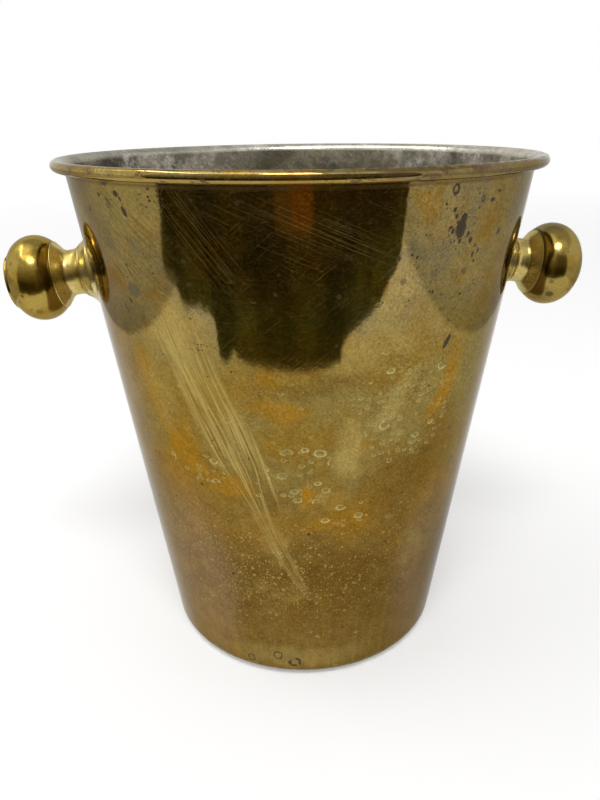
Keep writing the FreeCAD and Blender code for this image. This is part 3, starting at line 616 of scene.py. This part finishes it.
    # the silvering ends along the crown of the rim
    inner_wall = BASE_RADIUS - SHEET * 0.5 + z * WALL_SLOPE
    crown = RIM_RADIUS - BEAD_RADIUS
    border = g.between(g.ramp(z, BUCKET_HEIGHT - 0.0045, BUCKET_HEIGHT - 0.001), inner_wall, crown)
    wear = (g.noise(place, 300, 3, 0.6) - 0.5) * 0.0012
    wear = wear * g.ramp(z, BUCKET_HEIGHT - 0.004, BUCKET_HEIGHT - 0.002)
    silvered = g.ramp(border + wear - radius, -0.0001, 0.0001) * g.ramp(z, 0.0006, 0.0009)
    colour = g.mix(silvered, colour, silver)
    roughness = g.between(silvered, roughness, silver_rough)
    haze = (
        g.ramp(grain, 0.5, 0.75) * 0.05 + g.ramp(mottle, 0.5, 0.75) * 0.03
        + scored * 0.2 + edge * 0.15 + specks * 0.06
    )
    bare = 1 - haze - dark * 0.5 - oval * 0.4 - dirt * 0.4
    metallic = g.between(silvered, bare, 1 - cloudy * 0.4)

    swell = g.noise(place, 26, 2) * 8.0 + g.noise(place, 200, 2) * 0.8
    relief = swell + grain * 0.05 - scored * 0.12 + edge * 0.35 - wiped * 0.04
    return g.metal(colour, metallic, roughness, relief, RELIEF_DEPTH)


def knob_material(name, base, deep, roughness, marks=(), metallic=1.0):
    """Turned brass, with dirt where collar, stem and ball meet, and painted shade on the ball's
    seam, more on the right and at the top.
    """
    g = Graph(name)
    place = g.place()
    x, _, z = g.split(place)
    along = g.size(x) * AXIS_RUN - z * AXIS_FALL
    # painted shade: the ball's seam is darker on the right handle and towards its top
    ball_joint_shade_weight = g.ramp(x, -0.01, 0.01, 0.25, 0.9) * g.ramp(z, 0.166, 0.182, 0.35, 1.0)
    dark_joints_and_shade = g.highest(
        g.ramp(g.size(along - BALL_JOINT), 0.0009, 0.0003) * ball_joint_shade_weight,
        g.ramp(g.size(along - COLLAR_JOINT), 0.0007, 0.0002) * 0.5,
    )
    cloud = g.noise(place, 90, 4, 0.6)
    colour = g.mix(g.ramp(cloud, 0.38, 0.65), base, deep)
    blot = g.ramp(g.noise(g.fit(place, (0.2, 0.5)), 160, 4, 0.65), 0.58, 0.68)
    colour = g.mix(blot * 0.35, colour, tone(96, 80, 40))
    pits = dots(g, place, 330, 0.07, 0.2, 0.3, False) * 0.8
    soft = g.drift(place, 700, 0.0012)
    for point, mark_size, amount in marks:
        pits = g.highest(pits, g.near(soft, point, mark_size) * amount)
    dull = g.near(place, (0.114, 0.0, 0.192), 0.017, 0.2) * 0.8
    dull = g.highest(dull, g.ramp(x, 0.09, 0.11) * 0.25)
    colour = g.mix(dull, colour, tone(104, 94, 68))
    colour = g.mix(pits, colour, tone(66, 56, 30))
    # dirt where the parts meet, with painted shade on the ball's seam
    colour = g.mix(dark_joints_and_shade * 0.8, colour, tone(74, 58, 26))
    grain = g.noise(place, 1500, 2, 0.6)
    colour = g.vary(colour, grain, 0.3, 0.7, 0.88, 1.12)
    rough = roughness + g.ramp(cloud, 0.35, 0.7) * 0.06 + pits * 0.3 + blot * 0.08 + dark_joints_and_shade * 0.2
    relief = g.noise(place, 90, 1) * 0.8 + grain * 0.05 - pits * 0.8
    return g.metal(colour, metallic - pits * 0.5, rough, relief, RELIEF_DEPTH)


def plain_metal(name, base, roughness):
    """A dull, even metal for the pieces that hardly show."""
    g = Graph(name)
    place = g.place()
    grain = g.noise(place, 900, 3, 0.6)
    colour = g.mix(g.ramp(g.noise(place, 140, 4), 0.35, 0.65), base, tuple(c * 0.6 for c in base))
    return g.metal(colour, 1.0, roughness + grain * 0.1, grain, RELIEF_DEPTH / 2)


def dress(words, material):
    """Gives a material to each CAD node with one of the words in its name."""
    for name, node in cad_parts.items():
        if any(word in name for word in words):
            node.data.materials.clear()
            node.data.materials.append(material)


# Dents and spots on the balls: place, radius, strength.
BALL_MARKS = [
    ((-0.1170, -0.0165, 0.1680), 0.0014, 0.8), ((-0.1205, -0.0130, 0.1800), 0.0014, 0.6),
    ((-0.1160, -0.0160, 0.1795), 0.0005, 0.9), ((-0.1120, -0.0140, 0.1600), 0.0022, 0.4),
    ((-0.1150, -0.0155, 0.1610), 0.0012, 0.5), ((-0.1190, -0.0150, 0.1650), 0.0010, 0.6),
    ((0.1100, -0.0140, 0.1610), 0.0022, 0.75), ((0.1150, -0.0160, 0.1800), 0.0006, 0.9),
    ((0.1180, -0.0150, 0.1630), 0.0008, 0.7), ((0.1090, -0.0170, 0.1670), 0.0013, 0.45),
    ((0.1220, -0.0130, 0.1720), 0.0008, 0.6), ((0.1050, -0.0150, 0.1600), 0.0010, 0.6),
]

dress(["bucket_shell"], shell_material())
# the collars and stems get paler brass than the balls: painted light, which makes them read as
# more brightly lit
dress(
    ["knob_collar"],
    knob_material("collar_brass", tone(212, 200, 146), tone(194, 176, 112), 0.2, (), 0.88),
)
dress(
    ["knob_stem"],
    knob_material("stem_brass", tone(212, 195, 128), tone(190, 167, 96), 0.24, (), 0.985),
)
dress(
    ["knob_ball", "end_button"],
    knob_material("knob_brass", tone(166, 142, 70), tone(150, 122, 48), 0.15, BALL_MARKS),
)
dress(["washer", "cap_nut", "stud"], plain_metal("fixing_brass", tone(140, 118, 66), 0.3))
dress(["rim_wire"], plain_metal("wire_steel", tone(120, 118, 114), 0.4))


# ---- the table, the room and its lights

FLOOR_HALF = 8.0
TABLE_LEFT, TABLE_RIGHT, TABLE_BACK, TABLE_EDGE = -0.41, 0.40, 0.80, 0.006
TABLE_SHADE = 0.82

# The foot of the dark cloth, seen from above, and the cloth's height.
CLOTH_FOOT = [
    (-0.477, -0.157), (-0.432, -0.187), (-0.380, -0.190), (-0.362, -0.202), (-0.340, -0.232),
    (-0.300, -0.262), (-0.264, -0.262), (-0.247, -0.258), (-0.235, -0.230), (-0.216, -0.236),
    (-0.206, -0.262), (-0.186, -0.262), (-0.130, -0.278), (-0.082, -0.292), (-0.030, -0.299),
    (0.022, -0.302), (0.078, -0.301), (0.086, -0.322), (0.113, -0.337), (0.164, -0.342),
    (0.220, -0.345), (0.262, -0.360), (0.296, -0.366), (0.345, -0.390),
]
CLOTH_HEIGHT = 0.5

# What all lamps face, and the world's strength as a light.
LAMP_AIM = (0, 0, 0.15)
WORLD_LIGHT = 0.6


def link(obj):
    scene.collection.objects.link(obj)
    return obj


def stage(name, points, faces, matrix=None):
    """A mesh that isn't part of the object."""
    mesh = bpy.data.meshes.new(name)
    mesh.from_pydata(points, [], faces)
    obj = link(bpy.data.objects.new(name, mesh))
    if matrix:
        obj.matrix_world = matrix
    return obj


def only_reflected(obj):
    """Leaves an object to be seen in the metal and nowhere else."""
    obj.visible_camera = False
    obj.visible_diffuse = False
    obj.visible_shadow = False
    obj.visible_transmission = False
    obj.visible_volume_scatter = False


def camera():
    data = bpy.data.cameras.new("camera")
    data.sensor_fit = "VERTICAL"
    data.sensor_height = SENSOR_HEIGHT_MM
    data.lens = LENS_MM
    data.clip_start = 0.01
    data.clip_end = 30
    obj = link(bpy.data.objects.new("camera", data))
    heading = Matrix.Rotation(EYE_HEADING, 4, "Z")
    tilt = Matrix.Rotation(pi / 2 + EYE_TILT, 4, "X")
    roll = Matrix.Rotation(EYE_ROLL, 4, "Z")
    obj.matrix_world = VIEW @ Matrix.Translation(EYE) @ heading @ tilt @ roll
    scene.camera = obj


def floor():
    """A white floor. Only the metal sees that it is greyer beyond the table's sides, most of all
    close to them, and a painted shadow of the bucket, a little darker, by its foot on the right."""
    s = FLOOR_HALF
    obj = stage("floor", [(-s, -s, 0), (s, -s, 0), (s, s, 0), (-s, s, 0)], [(0, 1, 2, 3)], VIEW)
    g = Graph("floor")
    place = g.place()
    x, y, _ = g.split(place)
    table = (
        g.ramp(x, TABLE_LEFT - TABLE_EDGE, TABLE_LEFT + TABLE_EDGE)
        * g.ramp(x, TABLE_RIGHT + TABLE_EDGE, TABLE_RIGHT - TABLE_EDGE)
    )
    table = table * g.ramp(y, TABLE_BACK + TABLE_EDGE, TABLE_BACK - TABLE_EDGE)
    seen = g.node("LightPath", {}).node
    camera_ray, glossy_ray, clear_ray = [
        Value(g, seen.outputs[f"Is {kind} Ray"]) for kind in ("Camera", "Glossy", "Transmission")]
    beyond = g.ramp(x, -0.1, 0.1, 0.6, 0.72) * g.ramp(g.size(x), TABLE_RIGHT, 0.58, 0.80, 1.04)
    shade = g.between(glossy_ray, 1.0, g.between(table, beyond, 1.0))
    # painted shadow of the bucket by its foot on the right, seen only in the metal
    shade = shade * (1 - glossy_ray * g.near(place, (0.08, 0.015, 0.0), 0.13, 0.15) * 0.2)
    diffuse = g.node("BsdfDiffuse", {"Color": g.grey(shade * TABLE_SHADE)})
    far = g.ramp(g.length(place), 0.4, 3.0, 0.24, 0.5)
    glow = g.highest(camera_ray, glossy_ray, clear_ray) * shade * far
    emission = g.node("Emission", {"Color": (1.0, 1.0, 1.0), "Strength": glow})
    obj.data.materials.append(g.finish(g.node("AddShader", {0: diffuse, 1: emission})))


def dark_card():
    """A dark cloth hung in front, which only the metal sees."""
    count = len(CLOTH_FOOT)
    points = [(x, y, z) for z in (0, CLOTH_HEIGHT) for x, y in CLOTH_FOOT]
    faces = [(i, i + 1, count + i + 1, count + i) for i in range(count - 1)]
    obj = stage("dark_card", points, faces)
    only_reflected(obj)
    g = Graph("dark_card")
    x, y, z = g.split(g.place())
    colour = g.mix(g.ramp(z, 0.02, 0.09), (0.095, 0.098, 0.030), (0.055, 0.042, 0.012))
    folds = g.noise(g.join(x * 9, z * 3), 1.0, 2, 0.5, flat=True)
    colour = g.vary(colour, folds, 0.3, 0.7, 0.6, 1.4)
    left = g.ramp(x, 0.05, -0.03)
    colour = g.mix(g.ramp(z, 0.145, 0.24) * g.between(left, 0.6, 1.0), colour, (0.25, 0.23, 0.15))
    colour = g.mix(g.ramp(z, 0.22, 0.36) * left, colour, (0.52, 0.49, 0.42))
    warm = g.ramp(x, -0.080, -0.072) * g.ramp(x, 0.004, -0.004) * g.ramp(z, 0.102, 0.112)
    warm = warm * g.ramp(z, 0.170, 0.155)
    amber = g.mix(g.ramp(x, -0.050, -0.034), (0.16, 0.095, 0.026), (0.28, 0.12, 0.014))
    colour = g.mix(warm * 0.8, colour, amber)
    emission = g.node("Emission", {"Color": colour, "Strength": 1.0})
    clear = g.node("BsdfTransparent", {})
    side = g.ramp(z, 0.0, 0.09, -0.478, -0.432)
    gone = g.highest(g.ramp(z, 0.36, 0.48), g.ramp(x - side, 0.002, -0.002))
    obj.data.materials.append(g.finish(g.node("MixShader", {0: gone, 1: emission, 2: clear})))


def glow_card(name, centre, normal, size, shade, core, strength=1.0):
    """A soft round card of one shade, which only the metal sees."""
    s = size / 2
    centre, normal = Vector(centre), Vector(normal).normalized()
    matrix = Matrix.Translation(centre) @ normal.to_track_quat("Z", "Y").to_matrix().to_4x4()
    obj = stage(name, [(-s, -s, 0), (s, -s, 0), (s, s, 0), (-s, s, 0)], [(0, 1, 2, 3)], matrix)
    only_reflected(obj)
    g = Graph(name)
    reach = g.length(g.place()) / s
    emission = g.node("Emission", {"Color": shade, "Strength": strength})
    clear = g.node("BsdfTransparent", {})
    gone = g.ramp(reach, core, 1.0)
    obj.data.materials.append(g.finish(g.node("MixShader", {0: gone, 1: emission, 2: clear})))


def lamp(name, start, end, width, energy):
    """A long soft lamp between two points, facing the bucket."""
    start, end = Vector(start), Vector(end)
    data = bpy.data.lights.new(name, "AREA")
    data.shape = "ELLIPSE"
    data.size = (end - start).length
    data.size_y = width
    data.energy = energy
    obj = link(bpy.data.objects.new(name, data))
    centre = (start + end) / 2
    along = (end - start).normalized()
    back = (centre - Vector(LAMP_AIM)).normalized()
    side = back.cross(along).normalized()
    back = along.cross(side)
    turn = Matrix((along, side, back)).transposed().to_4x4()
    obj.matrix_world = Matrix.Translation(centre) @ turn
    obj.visible_camera = False


def room():
    """An even white world, which shows as plain white wherever it is seen."""
    world = bpy.data.worlds.new("room")
    scene.world = world
    world.use_nodes = True
    tree = world.node_tree
    tree.nodes.clear()
    seen = tree.nodes.new("ShaderNodeLightPath")
    white = tree.nodes.new("ShaderNodeMath")
    white.operation = "MAXIMUM"
    whiter = tree.nodes.new("ShaderNodeMath")
    whiter.operation = "MAXIMUM"
    strength = tree.nodes.new("ShaderNodeMapRange")
    background = tree.nodes.new("ShaderNodeBackground")
    out = tree.nodes.new("ShaderNodeOutputWorld")
    strength.inputs["To Min"].default_value = WORLD_LIGHT
    strength.inputs["To Max"].default_value = 1.0
    tree.links.new(seen.outputs["Is Camera Ray"], white.inputs[0])
    tree.links.new(seen.outputs["Is Glossy Ray"], white.inputs[1])
    tree.links.new(white.outputs[0], whiter.inputs[0])
    tree.links.new(seen.outputs["Is Transmission Ray"], whiter.inputs[1])
    tree.links.new(whiter.outputs[0], strength.inputs["Value"])
    tree.links.new(strength.outputs[0], background.inputs["Strength"])
    background.inputs["Color"].default_value = (1, 1, 1, 1)
    tree.links.new(background.outputs[0], out.inputs[0])


camera()
floor()
dark_card()
room()
glow_card("ceiling", (0, 0, 2.6), (0, 0, -1), 6.4, (0.58, 0.58, 0.58), 0.75)
halo_place = VIEW @ Vector((-0.08, -0.98, 1.92))
glow_card("key_halo", halo_place, (0, -0.9, 1.75), 1.9, (1.3, 1.3, 1.25), 0.1)
glow_card("left_glow", (-0.72, -0.05, 1.95), (0.7, 0.05, -1.8), 2.2, (1.0, 1.0, 0.97), 0.15, 2.0)
glow_card("bridge_glow", (-0.66, -0.60, 1.78), (0.6, 0.55, -1.55), 1.0, (1.0, 1.0, 0.97), 0.1, 3.0)
glow_card("side_glow", (-1.45, 0.75, 1.8), (1.4, -0.7, -1.6), 1.4, (1.0, 1.0, 0.97), 0.1, 2.0)
glow_card("right_glow", (0.75, -0.75, 1.8), (-0.7, 0.6, -1.6), 1.4, (1.0, 1.0, 0.97), 0.1, 1.1)
lamp("key", (-0.523, -0.891, 1.8), (0.340, -0.950, 1.8), 0.5, 15)
lamp("strip", (-1.12, 0.90, 1.8), (-1.08, -0.66, 1.8), 0.24, 6)
scene.view_settings.view_transform = "Standard"
